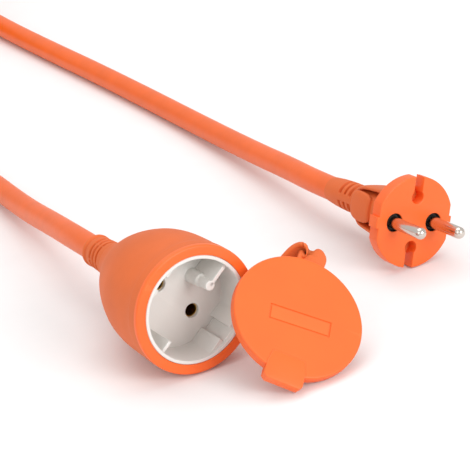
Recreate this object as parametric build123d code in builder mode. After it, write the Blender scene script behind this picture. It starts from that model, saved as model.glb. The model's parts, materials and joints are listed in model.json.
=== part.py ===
"""Two-pole outdoor extension lead: a moulded plug, a coupler socket with a tethered lid, and the cord between them.

Millimetres, +Z up. The coupler lies on the surface z = 0 with its mouth facing -Y. The origin is on that surface,
under the middle of the coupler and its open lid. Each piece is a separate node; the lid and its strap move.
"""
from build123d import *
from math import cos, pi, radians, sin, sqrt, tan
import os

os.makedirs("parts", exist_ok=True)

# ---- Driving dimensions -----------------------------------------------------------------------------------
PIN_PITCH = 19.0            # between the two poles, the standard spacing
PIN_DIA = 4.8               # standard round pin
PIN_LENGTH = 19.0           # from the plug's face to the tip
CORD_DIA = 10.0
CORD_LENGTH = 5000.0        # all of the cord, from the sleeve of the coupler to the neck of the plug
FIT_GAP = 0.05              # radial room of a piece seated in another

# Coupler
RING_R = 24.9               # the mouth ring, which the coupler lies on
RING_LENGTH = 6.5
HOUSING_LENGTH = 62.0
COUPLER_TILT = 2.5          # it rests on its ring and its barrel, so its mouth looks up a little
MOUTH = Vector(-15.44, -20.43, 25.51)    # centre of the mouth
PIN_LINE_ROLL = -50.0       # the line through the poles, from level, seen from the front
INSERT_R = 20.9
RECESS_R = 19.5
RECESS_DEPTH = 16.0
INSERT_FLOOR = 5.0
KEY_POST_RADIUS = 10.3      # the upper key's post stands this far from the axis
KEY_RIB_RADIUS = 14.8       # the lower key is a rib that reaches in to here
SIDE_FLAT = 17.3            # flat walls at the ends of the pin line
SLEEVE_R = 7.2
SLEEVE_LENGTH = 18.0         # the part of the sleeve that shows

# Lid and strap
LID_R = 25.2
LID_THICKNESS = 4.4
TAB_WIDTH = 14.5
TAB_REACH = 3.8
STRAP_WIDTH = 11.0
STRAP_THICKNESS = 1.6
STRAP_CLOCK = 17.96         # where the strap grows from the ring, from level

# Plug
DISC_R = 18.5
DISC_FLAT = 17.1
DISC_THICKNESS = 5.5
KEYHOLE_DIA = 5.5
KEYHOLE_RADIUS = 10.3
KEYHOLE_SLOT = 3.9
NECK_LENGTH = 26.0
RELIEF_LENGTH = 24.0

# ---- Where the pieces lie -----------------------------------------------------------------------------------
TILT = radians(COUPLER_TILT)
MOUTH_OUT = Vector(0, -cos(TILT), sin(TILT))
MOUTH_UP = Vector(0, sin(TILT), cos(TILT))


def mouth_plane_at(roll, depth=0.0):
    """A plane across the coupler's axis: local x at this angle from level, z out of the mouth."""
    across = Vector(1, 0, 0) * cos(radians(roll)) + MOUTH_UP * sin(radians(roll))
    return Plane(origin=MOUTH - MOUTH_OUT * depth, x_dir=across, z_dir=MOUTH_OUT)


mouth_plane = mouth_plane_at(PIN_LINE_ROLL)

PLUG_AXIS = Vector(0.035, -0.998, 0.053).normalized()
PLUG_PIN_LINE = Vector(0.958, 0.018, -0.287)
PLUG_FACE = Vector(MOUTH.X + 111.3, MOUTH.Y + 22.7, 18.9)
plug_plane = Plane(origin=PLUG_FACE, x_dir=PLUG_PIN_LINE, z_dir=PLUG_AXIS)

LID_NORMAL = Vector(0.065, -0.712, 0.699).normalized()
LID_WIDTH_DIR = Vector(0.759, -0.419, -0.498)
LID_FACE = Vector(MOUTH.X + 30.7, MOUTH.Y - 21.0, 21.36)
lid_plane = Plane(origin=LID_FACE, x_dir=LID_WIDTH_DIR, z_dir=LID_NORMAL)


def depth_plane(face):
    """The half-section plane of a turned piece: local x is the radius, local y the depth behind the face."""
    back = face.z_dir * -1
    return Plane(origin=face.origin, x_dir=face.x_dir, z_dir=face.x_dir.cross(back))


def centre_axis(face):
    return Axis(face.origin, face.z_dir * -1)


def turned(face, outline):
    """A piece revolved from a closed outline of (radius, depth) corners."""
    with BuildPart() as piece:
        with BuildSketch(depth_plane(face)):
            with BuildLine():
                Polyline(*outline, close=True)
            make_face()
        revolve(axis=centre_axis(face))
    return piece


def save(piece, name):
    piece.part.label = name
    export_step(piece.part, "parts/" + name + ".step")


# ---- Coupler housing ----------------------------------------------------------------------------------------
CAVITY_R = 18.2
SHOULDER_DEPTH = RECESS_DEPTH + INSERT_FLOOR
with BuildPart() as socket_housing:
    with BuildSketch(depth_plane(mouth_plane)):
        with BuildLine():
            mouth_edge = Line((INSERT_R + FIT_GAP, 0), (RING_R - 1.6, 0))
            RadiusArc(mouth_edge @ 1, (RING_R, 1.6), -1.6)
            ring_side = Line((RING_R, 1.6), (RING_R, RING_LENGTH - 0.8))
            barrel = Spline(ring_side @ 1, (24.55, 9.5), (24.2, 22.0), (21.9, 33.0), (16.9, 45.0), (12.6, 52.0),
                            (9.4, 58.0), (8.4, HOUSING_LENGTH), tangents=((0, 1), (-0.1, 1)))
            Polyline(barrel @ 1, (SLEEVE_R, HOUSING_LENGTH), (SLEEVE_R, 55.0), (11.9, 48.9), (13.6, 40.7),
                     (CAVITY_R, 33.0), (CAVITY_R, SHOULDER_DEPTH), (INSERT_R + FIT_GAP, SHOULDER_DEPTH),
                     (INSERT_R + FIT_GAP, 0))
        make_face()
    revolve(axis=centre_axis(mouth_plane))
save(socket_housing, "socket_housing")

# ---- Insert: a cup with two holes, a key post with a bar, a key rib and two side blocks -----------------------
HOLE_DIA = 5.6
HOLE_CHAMFER = 0.5
BLOCK_DEPTH = 1.8           # the side blocks and the keys start this far behind the mouth
KEY_DEPTH = 2.0
KEY_STEP_DEPTH = 8.0        # the post is thicker behind this depth
KEY_BAR_WIDTH = 1.4
GROOVE_WIDTH = 5.6          # of the groove in each side block, for the plug's lug
CONTACT_SEAT_DIA = 7.0
CONTACT_SEAT_DEPTH = 3.4
with BuildPart() as socket_insert:
    with BuildSketch(mouth_plane.offset(-0.1)):
        Circle(INSERT_R)
    extrude(amount=-(SHOULDER_DEPTH - 0.1))
    with BuildSketch(mouth_plane.offset(-0.1)):
        with BuildLine():
            half_flat = sqrt(RECESS_R ** 2 - SIDE_FLAT ** 2)
            RadiusArc((-SIDE_FLAT, half_flat), (SIDE_FLAT, half_flat), RECESS_R)
            Line((SIDE_FLAT, half_flat), (SIDE_FLAT, -half_flat))
            RadiusArc((SIDE_FLAT, -half_flat), (-SIDE_FLAT, -half_flat), RECESS_R)
            Line((-SIDE_FLAT, -half_flat), (-SIDE_FLAT, half_flat))
        make_face()
        Rectangle(2 * RECESS_R - 0.6, GROOVE_WIDTH)
    extrude(amount=-(RECESS_DEPTH - 0.1), mode=Mode.SUBTRACT)
    with BuildSketch(mouth_plane.offset(-0.1)):
        Circle(RECESS_R)
    extrude(amount=-(BLOCK_DEPTH - 0.1), mode=Mode.SUBTRACT)
    with BuildSketch(mouth_plane.offset(-RECESS_DEPTH)):
        with GridLocations(PIN_PITCH, 0, 2, 1):
            Circle(HOLE_DIA / 2)
    extrude(amount=-INSERT_FLOOR, mode=Mode.SUBTRACT)
    with BuildSketch(mouth_plane.offset(-SHOULDER_DEPTH)):
        with GridLocations(PIN_PITCH, 0, 2, 1):
            Circle(CONTACT_SEAT_DIA / 2)
    extrude(amount=CONTACT_SEAT_DEPTH, mode=Mode.SUBTRACT)
    with BuildSketch(mouth_plane.offset(-RECESS_DEPTH)):
        with GridLocations(PIN_PITCH, 0, 2, 1):
            Circle(HOLE_DIA / 2 + HOLE_CHAMFER)
    extrude(amount=-HOLE_CHAMFER, taper=45, mode=Mode.SUBTRACT)
    for post_r, depth, length in ((2.6, RECESS_DEPTH, RECESS_DEPTH - KEY_STEP_DEPTH),
                                  (2.0, KEY_STEP_DEPTH, KEY_STEP_DEPTH - KEY_DEPTH)):
        with BuildSketch(mouth_plane.offset(-depth)):
            with Locations((0, KEY_POST_RADIUS)):
                Circle(post_r)
            with Locations((0, (KEY_POST_RADIUS + RECESS_R) / 2)):
                Rectangle(KEY_BAR_WIDTH, RECESS_R - KEY_POST_RADIUS + 0.4)
        extrude(amount=length)
    with BuildSketch(mouth_plane.offset(-RECESS_DEPTH)):
        with Locations((0, -(KEY_RIB_RADIUS + RECESS_R) / 2)):
            Rectangle(KEY_BAR_WIDTH, RECESS_R - KEY_RIB_RADIUS + 0.4)
    extrude(amount=RECESS_DEPTH - KEY_DEPTH)
save(socket_insert, "socket_insert")

# ---- Retaining cover behind the insert --------------------------------------------------------------------------
COVER_THICKNESS = 3.0
with BuildPart() as insert_back_cover:
    with BuildSketch(mouth_plane.offset(-SHOULDER_DEPTH)):
        Circle(CAVITY_R - FIT_GAP)
        with GridLocations(PIN_PITCH, 0, 2, 1):
            Circle(CONTACT_SEAT_DIA / 2, mode=Mode.SUBTRACT)
        Circle(2.0, mode=Mode.SUBTRACT)
    extrude(amount=-COVER_THICKNESS)
save(insert_back_cover, "insert_back_cover")

# ---- Contacts, springs and crimps, one of each to a pole ---------------------------------------------------------
CONTACT_START = RECESS_DEPTH + 1.7
CONTACT_LENGTH = 21.0
CONTACT_BORE = 4.9
CONTACT_OUTER_R = 3.2
CRIMP_LENGTH = 8.0
CRIMP_R = 1.9
for side, name in ((-1, "left"), (1, "right")):
    at = mouth_plane.from_local_coords((side * PIN_PITCH / 2, 0, 0))
    pole_plane = Plane(origin=at, x_dir=mouth_plane.x_dir, z_dir=mouth_plane.z_dir)

    with BuildPart() as contact:
        with BuildSketch(pole_plane.offset(-CONTACT_START)):
            Circle(CONTACT_OUTER_R)
        extrude(amount=-CONTACT_LENGTH)
        with BuildSketch(pole_plane.offset(-CONTACT_START)):
            Circle(CONTACT_BORE / 2)
        extrude(amount=-(CONTACT_LENGTH - 2.0), mode=Mode.SUBTRACT)
        with BuildSketch(pole_plane.offset(-(CONTACT_START + CONTACT_LENGTH))):
            Circle(CRIMP_R)
        extrude(amount=-2.0)
    save(contact, "contact_sleeve_" + name)

    with BuildPart() as spring:
        with BuildSketch(pole_plane.offset(-(SHOULDER_DEPTH + COVER_THICKNESS + 3.0))):
            Circle(CONTACT_OUTER_R + 0.8)
            Circle(CONTACT_OUTER_R + FIT_GAP, mode=Mode.SUBTRACT)
            with Locations((0, 3.6)):
                Rectangle(1.2, 2.4, mode=Mode.SUBTRACT)
        extrude(amount=-5.0)
    save(spring, "contact_spring_" + name)

    with BuildPart() as crimp:
        with BuildSketch(pole_plane.offset(-(CONTACT_START + CONTACT_LENGTH + 2.0))):
            Circle(CRIMP_R)
            Circle(1.2, mode=Mode.SUBTRACT)
        extrude(amount=-CRIMP_LENGTH)
    save(crimp, "crimp_" + name)

# ---- Wires inside the coupler -------------------------------------------------------------------------------------
WIRE_R = 1.15
WIRE_START = CONTACT_START + CONTACT_LENGTH + 4.0
for side, name in ((-1, "brown"), (1, "blue")):
    with BuildPart() as wire:
        with BuildLine(mouth_plane) as wire_route:
            FilletPolyline((side * PIN_PITCH / 2, 0, -WIRE_START), (side * PIN_PITCH / 2, 0, -50.0),
                           (side * 1.9, 0, -55.0), (side * 1.9, 0, -(HOUSING_LENGTH + 1.0)), radius=2.0)
        with BuildSketch(Plane(origin=wire_route.line @ 0, z_dir=wire_route.line % 0)):
            Circle(WIRE_R)
        sweep(path=wire_route.line)
    save(wire, "socket_wire_" + name)

# ---- Strain relief sleeve of the coupler -----------------------------------------------------------------------------
SLEEVE_BORE = CORD_DIA / 2 + 0.02
SLEEVE_START = 59.4
SLEEVE_END = HOUSING_LENGTH + SLEEVE_LENGTH
SLOT_WIDTH = 0.9
with BuildPart() as socket_sleeve:
    with BuildSketch(depth_plane(mouth_plane)):
        with BuildLine():
            Polyline((SLEEVE_BORE, SLEEVE_START), (SLEEVE_R - FIT_GAP, SLEEVE_START), (SLEEVE_R - FIT_GAP, HOUSING_LENGTH),
                     (7.1, HOUSING_LENGTH), (6.3, SLEEVE_END - 2.6), (5.8, SLEEVE_END - 2.4),
                     (5.8, SLEEVE_END - 1.6), (6.55, SLEEVE_END - 1.4), (6.55, SLEEVE_END),
                     (SLEEVE_BORE, SLEEVE_END), close=True)
        make_face()
    revolve(axis=centre_axis(mouth_plane))
    for row in range(3):
        with BuildSketch(mouth_plane.offset(-(HOUSING_LENGTH + 5.4 + 2.8 * row))):
            Circle(9.0)
            Circle(SLEEVE_BORE + 0.5, mode=Mode.SUBTRACT)
            with GridLocations(22.0, 22.0, 2, 2):
                Rectangle(14.0, 14.0, mode=Mode.SUBTRACT)
        extrude(amount=-SLOT_WIDTH, mode=Mode.SUBTRACT)
save(socket_sleeve, "socket_strain_relief")

with BuildPart() as cord_clamp:
    with BuildSketch(mouth_plane.offset(-56.2)):
        Circle(SLEEVE_R - FIT_GAP)
        Circle(3.6, mode=Mode.SUBTRACT)
        with Locations((0, 6.6), (0, -6.6)):
            Circle(0.9, mode=Mode.SUBTRACT)
    extrude(amount=-2.9)
save(cord_clamp, "cord_clamp")

# ---- Lid: a flat cap with a finger tab and a blank framed panel -------------------------------------------------------
POCKET_R = 17.6
POCKET_DEPTH = 1.8
SEAL_PROUD = 1.0            # the seal stands this far out of the lid and into the mouth
FRAME_SIZE = (24.0, 6.4)
FRAME_AT = (0.8, -1.3)
with BuildPart() as lid:
    with BuildSketch(lid_plane):
        Circle(LID_R)
    extrude(amount=-LID_THICKNESS)
    fillet(lid.edges().filter_by(GeomType.CIRCLE), 1.1)
    with BuildSketch(lid_plane.offset(-0.9)):
        with Locations((0, -LID_R - TAB_REACH / 2 + 1.5)):
            RectangleRounded(TAB_WIDTH, TAB_REACH + 3.0, 1.4)
    extrude(amount=-2.6)
    with BuildSketch(lid_plane):
        with Locations(FRAME_AT):
            Rectangle(*FRAME_SIZE)
            Rectangle(FRAME_SIZE[0] - 1.0, FRAME_SIZE[1] - 1.0, mode=Mode.SUBTRACT)
    extrude(amount=-0.3, mode=Mode.SUBTRACT)
    with BuildSketch(lid_plane.offset(-LID_THICKNESS)):
        Circle(POCKET_R)
    extrude(amount=POCKET_DEPTH, mode=Mode.SUBTRACT)
save(lid, "lid")

with BuildPart() as lid_seal:
    with BuildSketch(lid_plane.offset(-(LID_THICKNESS - POCKET_DEPTH))):
        Circle(POCKET_R - FIT_GAP)
        Circle(POCKET_R - 2.4, mode=Mode.SUBTRACT)
    extrude(amount=-(POCKET_DEPTH + SEAL_PROUD))
    chamfer(lid_seal.edges().filter_by(GeomType.CIRCLE).sort_by(Axis(LID_FACE, LID_NORMAL))[:2], 0.6)
save(lid_seal, "lid_seal")

# ---- Strap: a tongue on the ring, a folded middle and a tail on the lid -------------------------------------------------
STRAP_DEPTH = 4.0           # behind the mouth
TONGUE_REACH = 6.0
root_plane = mouth_plane_at(STRAP_CLOCK, STRAP_DEPTH)
with BuildPart() as strap_root:
    with BuildSketch(root_plane):
        with Locations((RING_R + TONGUE_REACH / 2, 0)):
            Rectangle(TONGUE_REACH + 2.0, STRAP_WIDTH)
        Circle(RING_R + 0.02, mode=Mode.SUBTRACT)
    extrude(amount=STRAP_THICKNESS / 2, both=True)
save(strap_root, "strap_root")

FOLD = Vector(MOUTH.X + 41.2, MOUTH.Y - 0.7, 42.2)
FOLD_LENGTH = 5.5
FOLD_WIDTH_DIR = Vector(0.585, -0.23, -0.78)
FOLD_NORMAL = Vector(0.48, 0.87, 0.11)
fold_plane = Plane(origin=FOLD, x_dir=FOLD_WIDTH_DIR, z_dir=FOLD_WIDTH_DIR.cross(FOLD_NORMAL).cross(FOLD_WIDTH_DIR))
with BuildPart() as strap_fold:
    with BuildSketch(fold_plane):
        RectangleRounded(STRAP_WIDTH - 1.0, FOLD_LENGTH, 1.0)
    extrude(amount=STRAP_THICKNESS / 2, both=True)
save(strap_fold, "strap_fold")

TAIL_REACH = 2.5
with BuildPart() as strap_tail:
    with BuildSketch(lid_plane.offset(-1.6)):
        with Locations((0, LID_R + TAIL_REACH / 2 - 1.0)):
            Rectangle(STRAP_WIDTH, TAIL_REACH + 2.0)
        Circle(LID_R + 0.02, mode=Mode.SUBTRACT)
    extrude(amount=-STRAP_THICKNESS)
save(strap_tail, "strap_tail")

# ---- Plug shell: contour disc, neck and grip ------------------------------------------------------------------------------
LUG_WIDTH = 4.6
LUG_REACH = 1.0
CARRIER_DIA = 7.4
RECESS_STEP = 1.8
PIN_ROOT_R = PIN_DIA / 2 + 0.2
POCKET_END = 9.0            # the pins' pockets end here, behind the face
NECK_END = DISC_THICKNESS + NECK_LENGTH
with BuildPart() as plug_shell:
    with BuildSketch(plug_plane):
        Circle(DISC_R)
        Rectangle(2 * DISC_FLAT, 2 * DISC_R + 2, mode=Mode.INTERSECT)
        Rectangle(2 * (DISC_FLAT + LUG_REACH), LUG_WIDTH)
        with Locations((0, KEYHOLE_RADIUS), (0, -KEYHOLE_RADIUS)):
            Circle(KEYHOLE_DIA / 2, mode=Mode.SUBTRACT)
        with Locations((0, KEYHOLE_RADIUS + 6.0), (0, -KEYHOLE_RADIUS - 6.0)):
            Rectangle(KEYHOLE_SLOT, 12.0, mode=Mode.SUBTRACT)
        with GridLocations(PIN_PITCH, 0, 2, 1):
            Circle(CARRIER_DIA / 2, mode=Mode.SUBTRACT)
    extrude(amount=-DISC_THICKNESS)
    with BuildSketch(plug_plane.offset(-DISC_THICKNESS)):
        Rectangle(28.4, 10.0)
    with BuildSketch(plug_plane.offset(-(DISC_THICKNESS + 5.0))):
        Rectangle(27.6, 11.5)
    with BuildSketch(plug_plane.offset(-(DISC_THICKNESS + 13.0))):
        Rectangle(16.0, 14.0)
    with BuildSketch(plug_plane.offset(-NECK_END)):
        Rectangle(12.4, 12.4)
    loft(ruled=True)
    with BuildSketch(plug_plane.offset(-RECESS_STEP)):
        with GridLocations(PIN_PITCH, 0, 2, 1):
            Circle(CARRIER_DIA / 2)
    extrude(amount=-(POCKET_END - RECESS_STEP), mode=Mode.SUBTRACT)
    with BuildSketch(plug_plane.offset(-POCKET_END)):
        Rectangle(PIN_PITCH + 4.0, 4.0)
    with BuildSketch(plug_plane.offset(-(DISC_THICKNESS + 13.0))):
        Rectangle(8.0, 4.0)
    loft(ruled=True, mode=Mode.SUBTRACT)
    with BuildSketch(plug_plane.offset(-(DISC_THICKNESS + 13.0))):
        Circle(CORD_DIA / 2 + FIT_GAP)
    extrude(amount=-(NECK_LENGTH - 13.0), mode=Mode.SUBTRACT)
save(plug_shell, "plug_shell")

with BuildPart() as plug_carrier:
    with BuildSketch(plug_plane.offset(-RECESS_STEP)):
        with GridLocations(PIN_PITCH, 0, 2, 1):
            Circle(CARRIER_DIA / 2 - FIT_GAP)
            Circle(PIN_ROOT_R + 0.02, mode=Mode.SUBTRACT)
    extrude(amount=-5.0)
save(plug_carrier, "plug_carrier")

# ---- Pins, crimps and wires of the plug -----------------------------------------------------------------------------------
PIN_R = PIN_DIA / 2
PIN_TAIL = 7.2
for side, name in ((-1, "left"), (1, "right")):
    at = plug_plane.from_local_coords((side * PIN_PITCH / 2, 0, 0))
    pole_plane = Plane(origin=at, x_dir=plug_plane.x_dir, z_dir=plug_plane.z_dir)
    with BuildPart() as pin:
        with BuildSketch(depth_plane(pole_plane)):
            with BuildLine():
                shank = Polyline((0, PIN_TAIL), (PIN_ROOT_R, PIN_TAIL), (PIN_ROOT_R, RECESS_STEP),
                                 (PIN_R, RECESS_STEP), (PIN_R, PIN_R - PIN_LENGTH))
                RadiusArc(shank @ 1, (0, -PIN_LENGTH), PIN_R)
                Line((0, -PIN_LENGTH), (0, PIN_TAIL))
            make_face()
        revolve(axis=centre_axis(pole_plane))
    save(pin, "plug_pin_" + name)

PLUG_WIRE_END = DISC_THICKNESS + 13.0
for side, name in ((-1, "brown"), (1, "blue")):
    with BuildPart() as wire:
        with BuildLine(plug_plane) as wire_route:
            FilletPolyline((side * PIN_PITCH / 2, 0, -PIN_TAIL), (side * PIN_PITCH / 2, 0, -(POCKET_END + 0.8)),
                           (side * 1.9, 0, -(PLUG_WIRE_END - 1.6)), (side * 1.9, 0, -PLUG_WIRE_END), radius=1.2)
        with BuildSketch(Plane(origin=wire_route.line @ 0, z_dir=wire_route.line % 0)):
            Circle(WIRE_R)
        sweep(path=wire_route.line)
    save(wire, "plug_wire_" + name)

# ---- Strain relief of the plug, slotted like the coupler's -------------------------------------------------------------------
RELIEF_END = NECK_END + RELIEF_LENGTH
with BuildPart() as plug_relief:
    with BuildSketch(depth_plane(plug_plane)):
        with BuildLine():
            Polyline((SLEEVE_BORE, NECK_END), (6.2, NECK_END), (5.6, RELIEF_END), (SLEEVE_BORE, RELIEF_END),
                     close=True)
        make_face()
    revolve(axis=centre_axis(plug_plane))
    for row in range(3):
        with BuildSketch(plug_plane.offset(-(NECK_END + 5.0 + 3.4 * row))):
            Circle(8.0)
            Circle(SLEEVE_BORE + 0.4, mode=Mode.SUBTRACT)
            with GridLocations(0, 16.0, 1, 2):
                Rectangle(16.0, 8.0, mode=Mode.SUBTRACT)
        extrude(amount=-1.2, mode=Mode.SUBTRACT)
save(plug_relief, "plug_strain_relief")

# ---- The cord: a lead from the coupler to the coil, the coil, and a lead from the coil to the plug -----------------------------
LEAD_Z = CORD_DIA / 2 + 0.1
COIL_COLUMNS = 3
COIL_LAYERS = 4
COIL_PITCH = CORD_DIA + 0.35
COIL_MID_R = 57.0
COIL_BASE = 0.9
COIL_INNER_R = COIL_MID_R - COIL_PITCH - CORD_DIA / 2
COIL_OUTER_R = COIL_MID_R + COIL_PITCH + CORD_DIA / 2
COIL_HEIGHT = (COIL_LAYERS - 1) * COIL_PITCH + CORD_DIA
COIL_X = 43.0                           # across from the mouth's centre
COIL_CENTRE = Vector(MOUTH.X + COIL_X, MOUTH.Y + 500.0, COIL_BASE)
COIL_EDGE = COIL_MID_R + COIL_PITCH     # the outer turns, which the leads run into


def beside_mouth(across, depth, height):
    return (MOUTH.X + across, MOUTH.Y + depth, height)


# The routes are chosen by hand, across and back from the mouth's centre. Each starts straight out of its sleeve.
socket_route = [
    tuple(mouth_plane.from_local_coords((0, 0, -SLEEVE_END))),
    tuple(mouth_plane.from_local_coords((0, 0, -SLEEVE_END - 18.0))),
    beside_mouth(4.5, 130.0, 15.5),
    beside_mouth(9.5, 167.0, 8.5),
    beside_mouth(14.0, 214.0, LEAD_Z),
    beside_mouth(14.0, 268.0, LEAD_Z + 0.2),
    beside_mouth(7.0, 322.0, 9.5),
    beside_mouth(-6.0, 374.0, 20.0),
    beside_mouth(-18.0, 422.0, 31.5),
    beside_mouth(COIL_X - COIL_EDGE, 470.0, LEAD_Z + COIL_BASE + (COIL_LAYERS - 1) * COIL_PITCH),
]
plug_route = [
    tuple(plug_plane.from_local_coords((0, 0, -RELIEF_END))),
    tuple(plug_plane.from_local_coords((0, 0, -RELIEF_END - 14.0))),
    beside_mouth(111.5, 118.0, 12.6),
    beside_mouth(114.2, 152.0, 8.7),
    beside_mouth(116.0, 200.0, LEAD_Z + 0.9),
    beside_mouth(116.0, 252.0, LEAD_Z),
    beside_mouth(114.0, 304.0, LEAD_Z + 0.2),
    beside_mouth(111.6, 352.0, LEAD_Z),
    beside_mouth(109.6, 396.0, LEAD_Z + 0.3),
    beside_mouth(109.4, 434.0, LEAD_Z + COIL_BASE),
    beside_mouth(COIL_X + COIL_EDGE, 472.0, LEAD_Z + COIL_BASE),
]


def corner_radii(points):
    """Each corner's largest arc: 0.45 of the shorter run, over the tangent of half the turn."""
    radii = []
    for before, corner, after in zip(points, points[1:], points[2:]):
        run_in = Vector(*corner) - Vector(*before)
        run_out = Vector(*after) - Vector(*corner)
        half_turn = radians(run_in.get_angle(run_out)) / 2
        radii.append(0.45 * min(run_in.length, run_out.length) / tan(half_turn))
    return radii


def cord_tube(points, name):
    radii = corner_radii(points)
    with BuildPart() as tube:
        with BuildLine() as route:
            FilletPolyline(*points, radius=radii)
        with BuildSketch(Plane(origin=route.line @ 0, z_dir=route.line % 0)):
            Circle(CORD_DIA / 2)
        sweep(path=route.line)
    save(tube, name)
    length = sum(edge.length for edge in route.edges())
    section = pi * CORD_DIA ** 2 / 4
    print(name, "length", round(length, 1), "volume / (section x length)", round(tube.part.volume / section / length, 4))
    print("  radii", [round(radius) for radius in radii])
    return length


lead_length = cord_tube(socket_route, "cord_socket_lead") + cord_tube(plug_route, "cord_plug_lead")
print("cord in the coil", round(CORD_LENGTH - lead_length), "turns",
      round((CORD_LENGTH - lead_length) / (2 * pi * COIL_MID_R), 2))

coil_section = Plane(origin=COIL_CENTRE, x_dir=(1, 0, 0), z_dir=(0, -1, 0))
with BuildPart() as cord_coil:
    with BuildSketch(coil_section):
        with Locations((COIL_MID_R, COIL_HEIGHT / 2)):
            RectangleRounded(COIL_OUTER_R - COIL_INNER_R, COIL_HEIGHT, 4.0)
    revolve(axis=Axis(COIL_CENTRE, (0, 0, 1)))
save(cord_coil, "cord_coil")

TIE_THICKNESS = 0.8
TIE_ANGLE = 16.0
tie_start = radians(240.0)
tie_section = Plane(origin=COIL_CENTRE, x_dir=(cos(tie_start), sin(tie_start), 0),
                    z_dir=(sin(tie_start), -cos(tie_start), 0))
with BuildPart() as coil_tie:
    with BuildSketch(tie_section):
        with Locations((COIL_MID_R, COIL_HEIGHT / 2)):
            RectangleRounded(COIL_OUTER_R - COIL_INNER_R + 2 * TIE_THICKNESS, COIL_HEIGHT + 2 * TIE_THICKNESS, 4.8)
            RectangleRounded(COIL_OUTER_R - COIL_INNER_R + 0.04, COIL_HEIGHT + 0.04, 4.02, mode=Mode.SUBTRACT)
    revolve(axis=Axis(COIL_CENTRE, (0, 0, 1)), revolution_arc=TIE_ANGLE)
save(coil_tie, "coil_tie")
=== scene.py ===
"""Looks of the extension lead: a contour plug, a coupler socket with a tethered lid, and the cord between them.

Everything is in metres in the CAD's frame. Pieces of the coupler, the lid and the plug are written in millimetres in
their own local frame (x across, y up, z out of the face) and placed by the frame's mounts.
"""
import json
import math

import bmesh
import bpy
from mathutils import Matrix, Vector


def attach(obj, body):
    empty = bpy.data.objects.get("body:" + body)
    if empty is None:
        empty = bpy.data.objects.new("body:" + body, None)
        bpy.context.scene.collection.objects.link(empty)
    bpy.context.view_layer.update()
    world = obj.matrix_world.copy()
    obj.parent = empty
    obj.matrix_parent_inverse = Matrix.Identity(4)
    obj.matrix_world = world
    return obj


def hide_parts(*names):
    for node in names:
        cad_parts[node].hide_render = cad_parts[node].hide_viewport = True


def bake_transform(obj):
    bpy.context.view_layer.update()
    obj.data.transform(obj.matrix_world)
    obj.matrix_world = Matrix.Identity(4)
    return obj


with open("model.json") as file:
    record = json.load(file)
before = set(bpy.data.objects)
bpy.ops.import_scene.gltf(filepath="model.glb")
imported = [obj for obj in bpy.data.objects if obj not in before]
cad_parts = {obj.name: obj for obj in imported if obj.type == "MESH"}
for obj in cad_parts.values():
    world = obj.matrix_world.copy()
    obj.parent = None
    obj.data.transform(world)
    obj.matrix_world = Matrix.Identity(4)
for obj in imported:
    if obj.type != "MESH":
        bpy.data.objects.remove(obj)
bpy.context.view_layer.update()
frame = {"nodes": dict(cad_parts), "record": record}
record = frame["record"]
mounts = {mount["name"]: mount for mount in record["mounts"]}
MM = 0.001

# ---- Local frames ------------------------------------------------------------------------------------------


def basis(origin, across, out):
    """A local frame with x across, z out and y up between them; its unit is the millimetre."""
    out = Vector(out).normalized()
    across = Vector(across)
    across = (across - out * across.dot(out)).normalized()
    up = out.cross(across)
    turn = Matrix((across, up, out)).transposed().to_4x4()
    return Matrix.Translation(origin) @ turn @ Matrix.Scale(MM, 4)


def between_mounts(left, right, back):
    """The frame midway between two round mounts, moved back along their axis by so many millimetres."""
    a, b = Vector(mounts[left]["pos_m"]), Vector(mounts[right]["pos_m"])
    out = Vector(mounts[left]["axis"]).normalized()
    return basis((a + b) / 2 - out * back * MM, b - a, out)


CONTACT_MIDDLE = -27.2          # the socket mounts lie this far behind the mouth
PIN_MIDDLE = 7.4                # the pin mounts lie this far before the plug's face
mouth = between_mounts("socket_contact_left", "socket_contact_right", CONTACT_MIDDLE)
plug = between_mounts("plug_pin_left", "plug_pin_right", PIN_MIDDLE)
MOUTH = mouth.translation
level_mouth = basis(MOUTH, (1, 0, 0), mouth.col[2].xyz)
lid_frame = basis(Vector((MOUTH.x + 0.0307, MOUTH.y - 0.0210, 0.02136)), (0.759, -0.419, -0.498),
                  (0.065, -0.712, 0.699))

# ---- Driving dimensions, in millimetres, as in the CAD -----------------------------------------------------
CORD_R = 5.0
INSERT_R = 20.9
RECESS_R = 19.5
RECESS_DEPTH = 16.0
SLEEVE_END = 80.0
SIDE_FLAT = 17.3
PIN_OFFSET = 9.5
PIN_R = 2.4
PIN_LENGTH = 19.0
LID_R = 25.2
LID_THICKNESS = 4.4
DISC_R = 18.5
DISC_FLAT = 17.1
DISC_THICKNESS = 5.5
KEYHOLE_RADIUS = 10.3
RECESS_HOLE_R = 3.7
RELIEF_END = 55.5

# ---- Materials ---------------------------------------------------------------------------------------------


def linear(red, green, blue):
    """A colour given in 0 to 255 display values, as the shader's linear values."""
    def channel(value):
        value /= 255.0
        return value / 12.92 if value <= 0.04045 else ((value + 0.055) / 1.055) ** 2.4
    return (channel(red), channel(green), channel(blue), 1.0)


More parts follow.
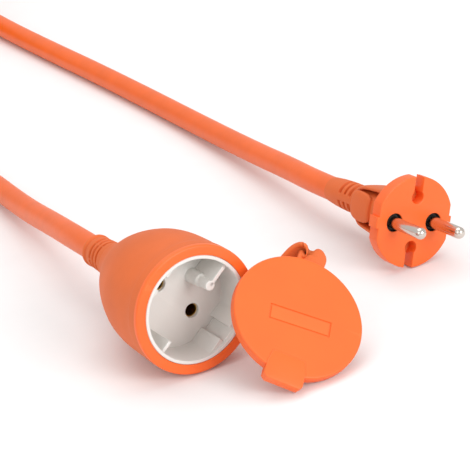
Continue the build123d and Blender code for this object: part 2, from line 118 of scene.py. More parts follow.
def moulded(name, colour, roughness=0.5, vary=0.08, grain=900.0, relief=0.03, patch=60.0,
            metallic=0.0, coat=0.0, wear=0.0):
    """A moulded or drawn surface: colour drifts in soft patches, and a fine grain gives bump and roughness."""
    material = bpy.data.materials.new(name)
    material.use_nodes = True
    nodes, links = material.node_tree.nodes, material.node_tree.links
    shader = nodes["Principled BSDF"]
    shader.inputs["Metallic"].default_value = metallic
    shader.inputs["Coat Weight"].default_value = coat
    where = nodes.new("ShaderNodeTexCoord")

    patches = nodes.new("ShaderNodeTexNoise")
    patches.inputs["Scale"].default_value = patch
    patches.inputs["Detail"].default_value = 3.0
    links.new(where.outputs["Object"], patches.inputs["Vector"])
    tint = nodes.new("ShaderNodeValToRGB")
    dark = [channel * (1 - vary) for channel in colour[:3]] + [1.0]
    light = [min(1.0, channel * (1 + vary)) for channel in colour[:3]] + [1.0]
    tint.color_ramp.elements[0].position = 0.3
    tint.color_ramp.elements[0].color = dark
    tint.color_ramp.elements[1].position = 0.7
    tint.color_ramp.elements[1].color = light
    links.new(patches.outputs["Fac"], tint.inputs["Fac"])
    surface = tint.outputs["Color"]
    if wear:
        geometry = nodes.new("ShaderNodeNewGeometry")
        edge = nodes.new("ShaderNodeMapRange")
        edge.inputs["From Min"].default_value = 0.52
        edge.inputs["From Max"].default_value = 0.60
        edge.inputs["To Max"].default_value = wear
        links.new(geometry.outputs["Pointiness"], edge.inputs["Value"])
        worn = nodes.new("ShaderNodeMix")
        worn.data_type = "RGBA"
        worn.inputs["B"].default_value = [min(1.0, channel * 1.35 + 0.03) for channel in colour[:3]] + [1.0]
        links.new(edge.outputs["Result"], worn.inputs["Factor"])
        links.new(surface, worn.inputs["A"])
        surface = worn.outputs["Result"]
    links.new(surface, shader.inputs["Base Color"])

    fine = nodes.new("ShaderNodeTexNoise")
    fine.inputs["Scale"].default_value = grain
    fine.inputs["Detail"].default_value = 4.0
    fine.inputs["Roughness"].default_value = 0.6
    links.new(where.outputs["Object"], fine.inputs["Vector"])
    rough = nodes.new("ShaderNodeMapRange")
    rough.inputs["To Min"].default_value = max(0.02, roughness - 0.08)
    rough.inputs["To Max"].default_value = min(1.0, roughness + 0.08)
    links.new(fine.outputs["Fac"], rough.inputs["Value"])
    links.new(rough.outputs["Result"], shader.inputs["Roughness"])
    bump = nodes.new("ShaderNodeBump")
    bump.inputs["Strength"].default_value = 0.5
    bump.inputs["Distance"].default_value = relief * MM
    links.new(fine.outputs["Fac"], bump.inputs["Height"])
    links.new(bump.outputs["Normal"], shader.inputs["Normal"])
    return material


# One orange rubber in two colours: the second, darker orange is painted shade for the surfaces that turn away from
# the light (housing sides, grip, sleeves, seal, strap), and the faces get the brighter orange. Their difference in
# roughness is the finish.
ORANGE = linear(242, 102, 33)
ORANGE_SHADED_SIDE = linear(217, 101, 40)
orange_gloss = moulded("orange_face_rubber", ORANGE, roughness=0.42, vary=0.03, grain=1400, relief=0.02, wear=0.25)
orange_matt_shaded = moulded("orange_matt_shaded_rubber", ORANGE_SHADED_SIDE, roughness=0.62, vary=0.05, grain=1700, relief=0.045,
                      wear=0.2)
orange_cord = moulded("orange_cord_sheath", linear(232, 99, 25), roughness=0.42, vary=0.05, grain=500, relief=0.03,
                      patch=90.0, coat=0.05)
white_plastic = moulded("insert_plastic", linear(222, 219, 214), roughness=0.38, vary=0.02, grain=1200, relief=0.012)
black_plastic = moulded("carrier_plastic", linear(22, 18, 16), roughness=0.5, vary=0.2, grain=1500, relief=0.02)
tie_webbing = moulded("tie_webbing", linear(24, 24, 26), roughness=0.85, vary=0.25, grain=2400, relief=0.12)
grey_plastic = moulded("cover_plastic", linear(95, 95, 96), roughness=0.55, vary=0.08, grain=1300, relief=0.03)
nickel = moulded("nickel_plate", linear(215, 205, 196), roughness=0.2, vary=0.03, grain=2600, relief=0.004,
                 metallic=1.0)
brass = moulded("contact_brass", linear(200, 160, 85), roughness=0.32, vary=0.1, grain=2200, relief=0.01,
                metallic=1.0)
steel = moulded("spring_steel", linear(160, 160, 163), roughness=0.3, vary=0.08, grain=2200, relief=0.01,
                metallic=1.0)
brown_wire = moulded("brown_insulation", linear(105, 58, 34), roughness=0.4, vary=0.06, relief=0.01)
blue_wire = moulded("blue_insulation", linear(30, 85, 170), roughness=0.4, vary=0.06, relief=0.01)

# ---- Making and placing meshes -----------------------------------------------------------------------------
SHARP = math.radians(38)


def place(mesh, name, local, body, material, replaced=(), smooth=True):
    """A mesh in local millimetres becomes a piece of the model that rides on a body."""
    mesh.transform(local)
    if local.is_negative:
        mesh.flip_normals()
    mesh.name = name
    piece = bpy.data.objects.new(name, mesh)
    bpy.context.scene.collection.objects.link(piece)
    mesh.materials.clear()
    mesh.materials.append(material)
    if smooth:
        mesh.shade_smooth()
        mesh.set_sharp_from_angle(angle=SHARP)
    if body:
        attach(piece, body)
    if replaced:
        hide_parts(*replaced)
    return piece


def mesh_from(build, name="piece"):
    """Runs build(bm) and returns a clean mesh with outward normals."""
    bm = bmesh.new()
    build(bm)
    bmesh.ops.remove_doubles(bm, verts=bm.verts, dist=1e-5)
    bmesh.ops.recalc_face_normals(bm, faces=bm.faces)
    mesh = bpy.data.meshes.new(name)
    bm.to_mesh(mesh)
    bm.free()
    return mesh


def rounded(corners, steps=6):
    """An open outline whose corners (x, y, radius) become arcs."""
    line = []
    last = len(corners) - 1
    for index, corner in enumerate(corners):
        here = Vector(corner[:2])
        radius = corner[2] if len(corner) > 2 else 0.0
        if index in (0, last) or radius <= 0:
            line.append(here)
            continue
        before, after = Vector(corners[index - 1][:2]), Vector(corners[index + 1][:2])
        come, go = (before - here).normalized(), (after - here).normalized()
        half = come.angle(go) / 2
        reach = min(radius / math.tan(half), 0.49 * min((before - here).length, (after - here).length))
        true_radius = reach * math.tan(half)
        centre = here + (come + go).normalized() * (true_radius / math.sin(half))
        start, end = here + come * reach - centre, here + go * reach - centre
        sweep = start.angle_signed(end)
        for step in range(steps + 1):
            angle = -sweep * step / steps
            turned = Vector((start.x * math.cos(angle) - start.y * math.sin(angle),
                             start.x * math.sin(angle) + start.y * math.cos(angle)))
            line.append(centre + turned)
    return line


def lathe(corners, segments=128, closed=True):
    """A mesh turned about local z from an outline of (radius, depth, corner radius)."""
    line = rounded(corners)

    def build(bm):
        rings = []
        for point in line:
            if point.x < 1e-6:
                rings.append([bm.verts.new((0, 0, -point.y))])
                continue
            rings.append([bm.verts.new((point.x * math.cos(2 * math.pi * k / segments),
                                        point.x * math.sin(2 * math.pi * k / segments), -point.y))
                          for k in range(segments)])
        pairs = list(zip(rings, rings[1:]))
        if closed and len(rings[0]) > 1:
            pairs.append((rings[-1], rings[0]))
        for near, far in pairs:
            for k in range(segments):
                a, b = near[k % len(near)], near[(k + 1) % len(near)]
                c, d = far[(k + 1) % len(far)], far[k % len(far)]
                corners_used = []
                for vert in (a, b, c, d):
                    if vert not in corners_used:
                        corners_used.append(vert)
                if len(corners_used) > 2:
                    bm.faces.new(corners_used)
    return mesh_from(build)


def arc(cx, cy, radius, start, end, steps=24):
    """Points of an arc, angles in degrees."""
    return [(cx + radius * math.cos(math.radians(start + (end - start) * k / steps)),
             cy + radius * math.sin(math.radians(start + (end - start) * k / steps))) for k in range(steps + 1)]


def prism(loops, front, back, bevel=0.3):
    """A plate between two depths with rounded edges; loops are its outline and any holes, in local x and y."""
    curve = bpy.data.curves.new("outline", "CURVE")
    curve.dimensions = "2D"
    curve.fill_mode = "BOTH"
    curve.bevel_depth = bevel
    curve.bevel_resolution = 3
    curve.offset = -bevel
    curve.extrude = (back - front) / 2 - bevel
    for loop in loops:
        spline = curve.splines.new("POLY")
        spline.points.add(len(loop) - 1)
        for point, (x, y) in zip(spline.points, loop):
            point.co = (x, y, 0, 1)
        spline.use_cyclic_u = True
    holder = bpy.data.objects.new("outline", curve)
    bpy.context.scene.collection.objects.link(holder)
    bpy.context.view_layer.update()
    mesh = bpy.data.meshes.new_from_object(holder.evaluated_get(bpy.context.evaluated_depsgraph_get()))
    bpy.data.objects.remove(holder)
    bpy.data.curves.remove(curve)
    mesh.transform(Matrix.Translation((0, 0, -(front + back) / 2)))
    bm = bmesh.new()
    bm.from_mesh(mesh)
    bmesh.ops.remove_doubles(bm, verts=bm.verts, dist=1e-4)
    bmesh.ops.recalc_face_normals(bm, faces=bm.faces)
    bm.to_mesh(mesh)
    bm.free()
    return mesh


def loft(sections, segments=72, steps=8, caps=True):
    """A smooth mesh through superellipse sections: depth, half x, half y, exponent, centre x, centre y."""
    full = [tuple(section) + (0.0,) * (6 - len(section)) for section in sections]

    def smooth_value(values, index, t):
        p0, p1 = values[max(index - 1, 0)], values[index]
        p2, p3 = values[index + 1], values[min(index + 2, len(values) - 1)]
        return 0.5 * (2 * p1 + (p2 - p0) * t + (2 * p0 - 5 * p1 + 4 * p2 - p3) * t * t
                      + (3 * p1 - p0 - 3 * p2 + p3) * t ** 3)

    def build(bm):
        columns = list(zip(*full))
        rings = []
        for index in range(len(full) - 1):
            for step in range(steps + (index == len(full) - 2)):
                depth, half_x, half_y, power, cx, cy = (
                    smooth_value(column, index, step / steps) for column in columns)
                ring = []
                for k in range(segments):
                    angle = 2 * math.pi * k / segments
                    c, s = math.cos(angle), math.sin(angle)
                    x = math.copysign(abs(c) ** (2 / power), c) * half_x + cx
                    y = math.copysign(abs(s) ** (2 / power), s) * half_y + cy
                    ring.append(bm.verts.new((x, y, -depth)))
                rings.append(ring)
        for near, far in zip(rings, rings[1:]):
            for k in range(segments):
                bm.faces.new((near[k], near[(k + 1) % segments], far[(k + 1) % segments], far[k]))
        if caps:
            bm.faces.new(rings[0])
            bm.faces.new(rings[-1])
    return mesh_from(build)


def joined(*meshes):
    """Several meshes as one."""
    bm = bmesh.new()
    for mesh in meshes:
        bm.from_mesh(mesh)
        bpy.data.meshes.remove(mesh)
    merged = bpy.data.meshes.new("joined")
    bm.to_mesh(merged)
    bm.free()
    return merged


# ---- Camera: where the picture was taken from, relative to the coupler's mouth -----------------------------
CAMERA_POSITION = Vector((-0.3581, -0.7026, 0.4051))
CAMERA_BACK = Vector((-0.432, -0.805, 0.407))
CAMERA_UP = Vector((0.282, 0.308, 0.909))
camera_data = bpy.data.cameras.new("camera")
camera_data.sensor_width = 36.0
camera_data.lens = 183.8
camera_data.clip_start = 0.05
camera_data.clip_end = 20.0
camera = bpy.data.objects.new("camera", camera_data)
bpy.context.scene.collection.objects.link(camera)
back = CAMERA_BACK.normalized()
side = CAMERA_UP.cross(back).normalized()
camera.matrix_world = (Matrix.Translation((MOUTH.x + CAMERA_POSITION.x, MOUTH.y + CAMERA_POSITION.y,
                                           CAMERA_POSITION.z))
                       @ Matrix((side, back.cross(side), back)).transposed().to_4x4())
bpy.context.scene.camera = camera
bpy.context.scene.view_settings.view_transform = "Standard"
bpy.context.view_layer.update()

# ---- Cord: one line from the coupler's sleeve through the coil to the plug's sleeve ------------------------
LEAD_Z = CORD_R + 0.1
COIL_PITCH = 2 * CORD_R + 0.35
COIL_MID_R = 57.0
COIL_BASE = 0.9
COIL_LAYERS = 4
COIL_EDGE = COIL_MID_R + COIL_PITCH
COIL_TURNS = 11.5
POINTS_PER_TURN = 24
COIL_X, COIL_Y = 43.0, 500.0


def beside_mouth(across, depth, height):
    """A point given across and back from the mouth's centre and up from the surface, in millimetres."""
    return Vector((MOUTH.x + across * MM, MOUTH.y + depth * MM, height * MM))


def on_axis(local, depth):
    return local @ Vector((0, 0, -depth))


socket_route = [
    on_axis(mouth, SLEEVE_END),
    on_axis(mouth, SLEEVE_END + 18.0),
    beside_mouth(4.5, 130.0, 15.5),
    beside_mouth(9.5, 167.0, 8.5),
    beside_mouth(14.0, 214.0, LEAD_Z),
    beside_mouth(14.0, 268.0, LEAD_Z + 0.2),
    beside_mouth(7.0, 322.0, 9.5),
    beside_mouth(-6.0, 374.0, 20.0),
    beside_mouth(-18.0, 422.0, 31.5),
    beside_mouth(COIL_X - COIL_EDGE, 470.0, LEAD_Z + COIL_BASE + (COIL_LAYERS - 1) * COIL_PITCH),
]
plug_route = [
    on_axis(plug, RELIEF_END),
    on_axis(plug, RELIEF_END + 14.0),
    beside_mouth(111.5, 118.0, 12.6),
    beside_mouth(114.2, 152.0, 8.7),
    beside_mouth(116.0, 200.0, LEAD_Z + 0.9),
    beside_mouth(116.0, 252.0, LEAD_Z),
    beside_mouth(114.0, 304.0, LEAD_Z + 0.2),
    beside_mouth(111.6, 352.0, LEAD_Z),
    beside_mouth(109.6, 396.0, LEAD_Z + 0.3),
    beside_mouth(109.4, 434.0, LEAD_Z + COIL_BASE),
    beside_mouth(COIL_X + COIL_EDGE, 472.0, LEAD_Z + COIL_BASE),
]


def coil_turns():
    """The coil's points: turns lie in three columns and four layers, and step over one after another."""
    slots = []
    for layer in range(COIL_LAYERS):
        columns = (2, 1, 0) if layer % 2 == 0 else (0, 1, 2)
        slots += [(column, layer) for column in columns]
    window = 0.12
    points = []
    for index in range(int(COIL_TURNS * POINTS_PER_TURN) + 1):
        turn, part = divmod(index / POINTS_PER_TURN, 1.0)
        turn = int(turn)
        column, layer = slots[turn]
        after_column, after_layer = slots[min(turn + 1, len(slots) - 1)]
        start = 0.86 - 0.24 * layer - (0.12 if after_layer != layer else 0.0)
        ease = min(max((part - start) / window, 0.0), 1.0)
        ease = ease * ease * (3 - 2 * ease)
        radius = COIL_MID_R + (column - 1 + (after_column - column) * ease) * COIL_PITCH
        height = COIL_BASE + CORD_R + (COIL_LAYERS - 1 - layer - (after_layer - layer) * ease) * COIL_PITCH
        angle = math.pi - 2 * math.pi * index / POINTS_PER_TURN
        radius += 0.14 * math.sin(3.0 * angle + turn)
        points.append(beside_mouth(COIL_X + radius * math.cos(angle), COIL_Y + radius * math.sin(angle), height))
    return points


route = socket_route + coil_turns() + plug_route[::-1]
cord_curve = bpy.data.curves.new("cord", "CURVE")
cord_curve.dimensions = "3D"
spline = cord_curve.splines.new("NURBS")
spline.points.add(len(route) - 1)
for point, place_at in zip(spline.points, route):
    point.co = (*place_at, 1.0)
spline.order_u = 3
spline.use_endpoint_u = True
cord_curve.resolution_u = 10
cord_curve.bevel_depth = CORD_R * MM
cord_curve.bevel_resolution = 10
cord_curve.use_fill_caps = True
cord = bpy.data.objects.new("cord", cord_curve)
bpy.context.scene.collection.objects.link(cord)
cord_curve.materials.append(orange_cord)
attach(cord, "coupler")
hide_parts("cord_coil", "cord_socket_lead", "cord_plug_lead")

# ---- Coupler housing ---------------------------------------------------------------------------------------
housing_side = [(24.9, 1.9), (24.9, 5.6), (24.75, 7.0), (24.6, 9.5), (24.55, 15.0), (24.2, 22.0), (23.3, 28.0),
                (21.9, 33.0), (19.7, 39.0), (16.9, 45.0), (14.4, 49.0), (12.6, 52.0), (10.7, 55.5), (9.4, 58.5),
                (8.6, 61.4)]


def spline_line(points, steps=5):
    """A smooth line through points (Catmull-Rom)."""
    line = []
    for index in range(len(points) - 1):
        p0, p1 = Vector(points[max(index - 1, 0)]), Vector(points[index])
        p2, p3 = Vector(points[index + 1]), Vector(points[min(index + 2, len(points) - 1)])
        for step in range(steps):
            t = step / steps
            line.append(0.5 * (2 * p1 + (p2 - p0) * t + (2 * p0 - 5 * p1 + 4 * p2 - p3) * t * t
                               + (3 * p1 - p0 - 3 * p2 + p3) * t ** 3))
    line.append(Vector(points[-1]))
    return line


side_line = [tuple(point) for point in spline_line(housing_side)]
cavity = [(8.3, 62.0), (7.25, 62.0), (7.25, 55.0), (11.9, 48.9), (13.6, 40.7), (18.2, 33.0), (18.2, 21.0),
          (21.0, 21.0), (21.0, 1.9)]
place(lathe(side_line + cavity, segments=192), "housing", mouth, "coupler", orange_matt_shaded,
      ("socket_housing",))
front_ring = lathe([(20.98, 1.9), (20.98, 0.0, 0.3), (24.9, 0.0, 1.5), (24.9, 1.9)], segments=192)
place(front_ring, "front_ring", mouth, "coupler", orange_gloss)

# ---- Insert ------------------------------------------------------------------------------------------------
BLOCK_DEPTH = 1.8
KEY_DEPTH = 2.0
KEY_RIB_RADIUS = 14.8
insert_rim = lathe([(RECESS_R, BLOCK_DEPTH), (RECESS_R, 0.1, 0.35), (INSERT_R, 0.1, 0.45), (INSERT_R, BLOCK_DEPTH)],
                   segments=160)
half_flat = math.degrees(math.acos(SIDE_FLAT / RECESS_R))
groove = 2.8
recess_outline = (arc(0, 0, RECESS_R, half_flat, 180 - half_flat, 48)
                  + [(-SIDE_FLAT, groove), (-19.2, groove), (-19.2, -groove), (-SIDE_FLAT, -groove)]
                  + arc(0, 0, RECESS_R, 180 + half_flat, 360 - half_flat, 48)
                  + [(SIDE_FLAT, -groove), (19.2, -groove), (19.2, groove), (SIDE_FLAT, groove)])
wall = prism([arc(0, 0, INSERT_R, 0, 357.5, 143), recess_outline], BLOCK_DEPTH - 0.05, RECESS_DEPTH + 0.5, 0.3)
holes = [arc(side_sign * PIN_OFFSET, 0, 2.8, 0, 352.5, 47) for side_sign in (-1, 1)]
floor_plate = prism([arc(0, 0, INSERT_R - 0.2, 0, 357.5, 143)] + holes, RECESS_DEPTH, RECESS_DEPTH + 5.0, 0.45)
post = lathe([(0, KEY_DEPTH), (1.95, KEY_DEPTH, 0.5), (2.05, 8.0, 0.3), (2.6, 9.0, 0.4), (3.0, RECESS_DEPTH + 0.1)],
             segments=48, closed=False)
post.transform(Matrix.Translation((0, KEYHOLE_RADIUS, 0)))
bar = prism([[(-0.7, KEYHOLE_RADIUS), (0.7, KEYHOLE_RADIUS), (0.7, RECESS_R + 0.5), (-0.7, RECESS_R + 0.5)]],
            KEY_DEPTH, RECESS_DEPTH + 0.2, 0.2)
rib = prism([[(-0.7, -RECESS_R - 0.5), (0.7, -RECESS_R - 0.5), (0.7, -KEY_RIB_RADIUS), (-0.7, -KEY_RIB_RADIUS)]],
            KEY_DEPTH, RECESS_DEPTH + 0.2, 0.2)
keys = [post, bar, rib]
place(joined(insert_rim, wall, floor_plate, *keys), "insert", mouth, "coupler", white_plastic,
      ("socket_insert",))

# ---- Slotted strain reliefs --------------------------------------------------------------------------------


def slotted_sleeve(radius_at, start, end, rows, windows, slot_half, depth_cut, bore, segments=160, step=0.25):
    """A sleeve with arc slots: rows are depths of the slots, windows are (angle, half width) in degrees."""
    def cut(angle, depth):
        best = 0.0
        for row in rows:
            across = 1 - min(1.0, max(0.0, (abs(depth - row) - slot_half) / 0.22))
            if across <= 0:
                continue
            for middle, half in windows:
                turn = abs((angle - middle + 180) % 360 - 180)
                around = 1 - min(1.0, max(0.0, (turn - half) / 5.0))
                best = max(best, across * around)
        return best

    def build(bm):
        rings = []
        count = int((end - start) / step)
        for index in range(count + 1):
            depth = start + (end - start) * index / count
            ring = []
            for k in range(segments):
                angle = 360 * k / segments
                radius = radius_at(depth) - depth_cut * cut(angle, depth)
                ring.append(bm.verts.new((radius * math.cos(math.radians(angle)),
                                          radius * math.sin(math.radians(angle)), -depth)))
            rings.append(ring)
        inner = []
        for depth in (start, end):
            inner.append([bm.verts.new((bore * math.cos(2 * math.pi * k / segments),
                                        bore * math.sin(2 * math.pi * k / segments), -depth))
                          for k in range(segments)])
        loops = [inner[0]] + rings + [inner[1], inner[0]]
        for near, far in zip(loops, loops[1:]):
            for k in range(segments):
                bm.faces.new((near[k], near[(k + 1) % segments], far[(k + 1) % segments], far[k]))
    return mesh_from(build)


def ramp(depth, points):
    """Straight interpolation through (depth, value) pairs."""
    for (d0, v0), (d1, v1) in zip(points, points[1:]):
        if depth <= d1:
            return v0 + (v1 - v0) * (depth - d0) / (d1 - d0)
    return points[-1][1]


sleeve_shape = [(59.4, 7.1), (62.0, 7.15), (77.2, 6.35), (77.5, 5.75), (78.4, 5.75), (78.7, 6.45), (79.0, 6.6),
                (79.7, 6.6), (80.0, 6.3)]
socket_sleeve = slotted_sleeve(lambda depth: ramp(depth, sleeve_shape), 59.4, SLEEVE_END, (68.0, 70.8, 73.6),
                               ((32, 27), (90, 20), (148, 27), (212, 27), (270, 20), (328, 27)), 0.5, 1.5,
                               CORD_R - 0.3)
place(socket_sleeve, "socket_sleeve", level_mouth, "coupler", orange_matt_shaded,
      ("socket_strain_relief",))
relief_shape = [(31.0, 6.3), (34.5, 6.25), (44.0, 6.15), (50.0, 5.8), (RELIEF_END, 5.2)]
plug_sleeve = slotted_sleeve(lambda depth: ramp(depth, relief_shape), 31.0, RELIEF_END, (37.0, 40.4, 43.8),
                             ((52, 33), (128, 33), (232, 33), (308, 33)), 0.65, 1.5, CORD_R - 0.3)
place(plug_sleeve, "plug_sleeve", plug, "coupler", orange_matt_shaded, ("plug_strain_relief",))

# ---- Plug: disc, grip, pins --------------------------------------------------------------------------------


def plug_outline():
    """The disc's edge: a circle with two flats, two lugs and two keyholes that run out to the rim."""
    flat_angle = math.degrees(math.acos(DISC_FLAT / DISC_R))
    slot_half, keyhole_r = 1.95, 2.75
    slot_angle = math.degrees(math.acos(slot_half / DISC_R))
    hole_angle = math.degrees(math.acos(slot_half / keyhole_r))
    lug, reach = 2.3, 1.0
    top = (arc(0, 0, DISC_R, flat_angle, slot_angle, 24)
           + arc(0, KEYHOLE_RADIUS, keyhole_r, hole_angle, -180 - hole_angle, 36)
           + arc(0, 0, DISC_R, 180 - slot_angle, 180 - flat_angle, 24))
    bottom = [(-x, -y) for x, y in top]
    left = [(-DISC_FLAT, lug), (-DISC_FLAT - reach, lug), (-DISC_FLAT - reach, -lug), (-DISC_FLAT, -lug)]
    right = [(-x, -y) for x, y in left]
    return top + left + bottom + right


pin_recesses = [arc(sign * PIN_OFFSET, 0, RECESS_HOLE_R, 0, 354, 59) for sign in (-1, 1)]
disc = prism([plug_outline()] + pin_recesses, 0.0, DISC_THICKNESS, 0.4)
place(disc, "plug_disc", plug, "coupler", orange_gloss)

web = loft([(5.0, 14.2, 7.0, 4.0), (8.0, 13.2, 6.9, 3.6), (12.0, 10.4, 6.8, 3.2), (17.0, 8.2, 6.7, 3.0),
            (24.0, 7.2, 6.7, 2.8), (30.0, 6.6, 6.5, 2.4), (34.5, 6.25, 6.25, 2.0)])
place(web, "plug_grip", plug, "coupler", orange_matt_shaded, ("plug_shell",))
neck = loft([(5.0, 5.4, 11.6, 4.0), (10.0, 4.6, 9.4, 3.6), (20.0, 4.0, 8.1, 3.2), (32.0, 3.6, 6.4, 2.6)])
place(neck, "plug_neck", plug, "coupler", orange_matt_shaded)


def flange(sign):
    """The grip's upper or lower flange, which flares towards the disc and closes the keyhole from behind."""
    return loft([(4.9, 8.6, 3.0, 4.0, 0, sign * 10.6), (6.4, 8.4, 2.6, 4.0, 0, sign * 10.2),
                 (8.5, 7.9, 1.3, 3.6, 0, sign * 9.7), (15.0, 7.3, 1.05, 3.4, 0, sign * 8.9),
                 (22.0, 6.9, 1.0, 3.2, 0, sign * 8.2), (28.0, 6.4, 1.1, 3.0, 0, sign * 7.4),
                 (32.5, 5.0, 1.4, 2.6, 0, sign * 5.9), (35.0, 3.6, 1.0, 2.2, 0, sign * 5.0)])


for sign, name in ((1, "plug_flange_top"), (-1, "plug_flange_bottom")):
    place(flange(sign), name, plug, "coupler", orange_matt_shaded)


def side_pad(sign):
    """A raised round pad for the thumb on the side of the grip."""
    return loft([(19.5, 0.5, 3.0, 2.2, sign * 7.3, 0), (20.3, 1.3, 4.6, 2.4, sign * 7.4, 0),
                 (23.0, 1.5, 5.9, 2.8, sign * 7.2, 0), (29.0, 1.5, 6.0, 3.0, sign * 6.7, 0),
                 (32.8, 1.2, 4.8, 2.6, sign * 6.4, 0), (33.8, 0.5, 3.2, 2.2, sign * 6.2, 0)])


for sign, name in ((1, "plug_pad_right"), (-1, "plug_pad_left")):
    place(side_pad(sign), name, plug, "coupler", orange_matt_shaded)

for sign, name in ((-1, "left"), (1, "right")):
    at_pole = plug @ Matrix.Translation((sign * PIN_OFFSET, 0, 0))
    collar = lathe([(2.55, 1.9), (3.2, 1.9, 0.2), (3.68, 0.5, 0.1), (3.72, 0.5), (3.72, 6.5), (2.55, 6.5)],
                   segments=64)
    place(collar, "carrier_" + name, at_pole, "coupler", black_plastic,
          ("plug_carrier",) if sign < 0 else ())
    tip = [(PIN_R * math.cos(math.radians(a)), -(PIN_LENGTH - PIN_R) - PIN_R * math.sin(math.radians(a)))
           for a in range(0, 91, 9)]
    tip[-1] = (0, -PIN_LENGTH)
    shank = lathe([(0, 7.2), (PIN_R, 7.2, 0.2), (PIN_R, 1.0)] + tip, segments=64, closed=False)
    place(shank, "pin_" + name, at_pole, "coupler", nickel, ("plug_pin_" + name,))

# ---- Lid ---------------------------------------------------------------------------------------------------
FACE_R = 23.9
POCKET_R = 17.6
POCKET_FLOOR = LID_THICKNESS - 1.8
SEAL_INNER_R, SEAL_OUTER_R = 15.2, 17.55
SEAL_PROUD = 1.0
FRAME_HALF = (12.0, 3.2)
FRAME_AT = Vector((0.8, -1.3, 0.0))
FRAME_TURN = math.radians(4.0)
CAP_SQUASH = 0.965             # the cap is made shorter towards the strap; the CAD's cap is round
CAP_SHIFT = -0.7


def lid_mesh():
    """The cap: a turned rim and pocket, and a flat face with a sunken frame around its blank panel."""
    rim = lathe([(FACE_R, 0.0), (LID_R, 0.0, 1.2), (LID_R, LID_THICKNESS, 0.9), (POCKET_R, LID_THICKNESS),
                 (POCKET_R, POCKET_FLOOR), (0, POCKET_FLOOR)], segments=192, closed=False)
    bm = bmesh.new()
    bm.from_mesh(rim)
    bpy.data.meshes.remove(rim)
    offsets = (1.2, 0.07, -0.07, -0.5, -0.62)
    heights = (0.0, 0.0, -0.35, -0.35, -0.05)
    turn = Matrix.Rotation(FRAME_TURN, 3, "Z")
    lines = [sorted([half + offset for offset in offsets] + [-half - offset for offset in offsets])
             for half in FRAME_HALF]
    grid = []
    for y in lines[1]:
        row = []
        for x in lines[0]:
            reach = max(abs(x) - FRAME_HALF[0], abs(y) - FRAME_HALF[1])
            height = heights[min(range(len(offsets)), key=lambda k: abs(offsets[k] - reach))]
            if reach < offsets[-1] - 0.01:
                height = heights[-1]
            row.append(bm.verts.new(turn @ Vector((x, y, height)) + FRAME_AT))
        grid.append(row)
    for low, high in zip(grid, grid[1:]):
        for k in range(len(low) - 1):
            bm.faces.new((low[k], low[k + 1], high[k + 1], high[k]))
    loose = [edge for edge in bm.edges if len(edge.link_faces) == 1]
    bmesh.ops.triangle_fill(bm, use_beauty=True, edges=loose, normal=(0, 0, 1))
    bmesh.ops.recalc_face_normals(bm, faces=bm.faces)
    for vert in bm.verts:
        vert.co.y = vert.co.y * CAP_SQUASH + CAP_SHIFT
    mesh = bpy.data.meshes.new("lid")
    bm.to_mesh(mesh)
    bm.free()
    return mesh


place(lid_mesh(), "lid_cap", lid_frame, "lid", orange_gloss, ("lid",))
tab = prism([[(-6.3, -17.5), (-7.5, -22.0), (-7.6, -LID_R - 2.4), (-6.3, -LID_R - 3.8), (6.3, -LID_R - 3.8),
              (7.6, -LID_R - 2.4), (7.5, -22.0), (6.3, -17.5)]], -0.35, 3.5, 0.35)
place(tab, "lid_tab", lid_frame, "lid", orange_gloss)
seal = lathe([(SEAL_INNER_R, POCKET_FLOOR), (SEAL_OUTER_R, POCKET_FLOOR),
              (SEAL_OUTER_R, LID_THICKNESS + SEAL_PROUD, 0.5), (SEAL_INNER_R, LID_THICKNESS + SEAL_PROUD, 0.5)],
             segments=160)
place(seal, "lid_seal_ring", lid_frame, "lid", orange_matt_shaded, ("lid_seal",))

# ---- Strap: a beaded band from the ring, over the fold, to the lid's rim -----------------------------------


def strap_path():
    """Points and width directions along the strap at rest, in metres."""
    lid_width = lid_frame.col[0].xyz.normalized()
    knots = [
        (beside_mouth(23.6, 4.0, 24.4), Vector((0, 0, -1))),
        (beside_mouth(29.0, 4.0, 24.0), Vector((0, 0, -1))),
        (beside_mouth(35.0, 3.4, 25.0), Vector((0.20, -0.05, -0.97))),
        (beside_mouth(41.0, 2.2, 28.6), Vector((0.45, -0.20, -0.87))),
        (beside_mouth(45.2, 0.5, 32.6), Vector((0.65, -0.33, -0.68))),
        (beside_mouth(47.8, -1.5, 34.2), lid_width),
        (beside_mouth(48.7, -3.5, 33.4), lid_width),
        (lid_frame @ Vector((0, LID_R - 0.8, -2.3)), lid_width),
        (lid_frame @ Vector((0, LID_R - 3.0, -2.4)), lid_width),
    ]
    line = []
    for index in range(len(knots) - 1):
        group = [knots[max(index - 1, 0)], knots[index], knots[index + 1], knots[min(index + 2, len(knots) - 1)]]
        steps = 10
        for step in range(steps + (index == len(knots) - 2)):
            t = step / steps
            blend = (0.5 * (-t + 2 * t * t - t ** 3), 0.5 * (2 - 5 * t * t + 3 * t ** 3),
                     0.5 * (t + 4 * t * t - 3 * t ** 3), 0.5 * (-t * t + t ** 3))
            line.append((sum((knot[0] * w for knot, w in zip(group, blend)), Vector()),
                         sum((knot[1] * w for knot, w in zip(group, blend)), Vector()).normalized()))
    return line


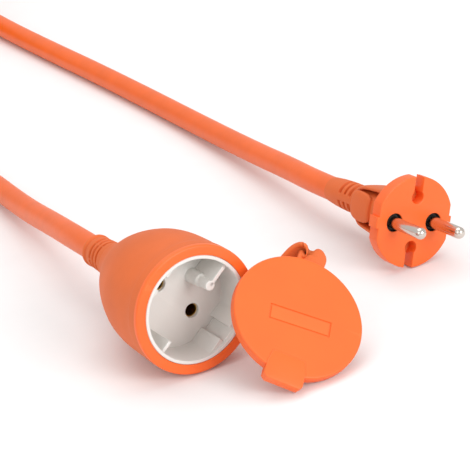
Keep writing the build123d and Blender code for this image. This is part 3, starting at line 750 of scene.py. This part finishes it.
def strap_mesh(line):
    """A closed band swept along part of the path."""
    half, bead = 0.0055, 0.00105
    outline = []
    for sign in (1, -1):
        for k in range(11):
            angle = math.radians((-142 if sign > 0 else 38) + 284 * k / 10)
            outline.append((sign * (half - bead) + bead * math.cos(angle), bead * math.sin(angle)))
    bm = bmesh.new()
    rings = []
    for index, (point, width) in enumerate(line):
        along = line[min(index + 1, len(line) - 1)][0] - line[max(index - 1, 0)][0]
        across = (width - along.normalized() * width.dot(along.normalized())).normalized()
        normal = along.normalized().cross(across)
        rings.append([bm.verts.new(point + across * u + normal * v) for u, v in outline])
    count = len(outline)
    for near, far in zip(rings, rings[1:]):
        for k in range(count):
            bm.faces.new((near[k], near[(k + 1) % count], far[(k + 1) % count], far[k]))
    bm.faces.new(rings[0])
    bm.faces.new(rings[-1])
    bmesh.ops.recalc_face_normals(bm, faces=bm.faces)
    mesh = bpy.data.meshes.new("strap")
    bm.to_mesh(mesh)
    bm.free()
    return mesh


strap_line = strap_path()
FOLD_INDEX = 50                 # where the lower and upper pieces meet, in points along the line
strap_lower = place(strap_mesh(strap_line[:FOLD_INDEX + 1]), "strap_lower", Matrix.Identity(4), None, orange_matt_shaded,
                    ("strap_root",))
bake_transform(strap_lower)
strap_upper = place(strap_mesh(strap_line[FOLD_INDEX:]), "strap_upper", Matrix.Identity(4), None, orange_matt_shaded,
                    ("strap_fold", "strap_tail"))
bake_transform(strap_upper)

# ---- CAD nodes that stay get better materials --------------------------------------------------------------
kept = {
    "insert_back_cover": grey_plastic, "cord_clamp": grey_plastic, "crimp_left": brass, "crimp_right": brass,
    "contact_sleeve_left": brass, "contact_sleeve_right": brass, "contact_spring_left": steel,
    "contact_spring_right": steel, "socket_wire_brown": brown_wire, "socket_wire_blue": blue_wire,
    "plug_wire_brown": brown_wire, "plug_wire_blue": blue_wire, "coil_tie": tie_webbing,
}
for node, material in kept.items():
    frame["nodes"][node].data.materials.clear()
    frame["nodes"][node].data.materials.append(material)

# ---- Floor and light ---------------------------------------------------------------------------------------
bpy.ops.mesh.primitive_plane_add(size=8.0, location=(0, 0, 0))
floor = bpy.context.object
floor.name = "floor"
floor.data.materials.append(moulded("floor_paper", (0.86, 0.86, 0.86, 1.0), roughness=0.9, vary=0.01, grain=300,
                                    relief=0.02))


def area_light(name, location, target, size, power):
    light = bpy.data.lights.new(name, "AREA")
    light.size = size
    light.energy = power
    lamp = bpy.data.objects.new(name, light)
    bpy.context.scene.collection.objects.link(lamp)
    lamp.location = location
    lamp.rotation_euler = (Vector(target) - Vector(location)).to_track_quat("-Z", "Y").to_euler()
    return lamp


area_light("key", (0.5, -1.7, 0.9), (0.05, 0, 0), 1.0, 19)
area_light("fill", (-1.5, -0.8, 1.1), (0.05, 0, 0), 1.3, 6)
area_light("top", (0.1, 0.5, 1.8), (0.05, 0.1, 0), 1.6, 12)
world = bpy.data.worlds.new("studio")
bpy.context.scene.world = world
world.use_nodes = True
world.node_tree.nodes["Background"].inputs["Color"].default_value = (1, 1, 1, 1)
world.node_tree.nodes["Background"].inputs["Strength"].default_value = 0.75

bpy.context.view_layer.update()
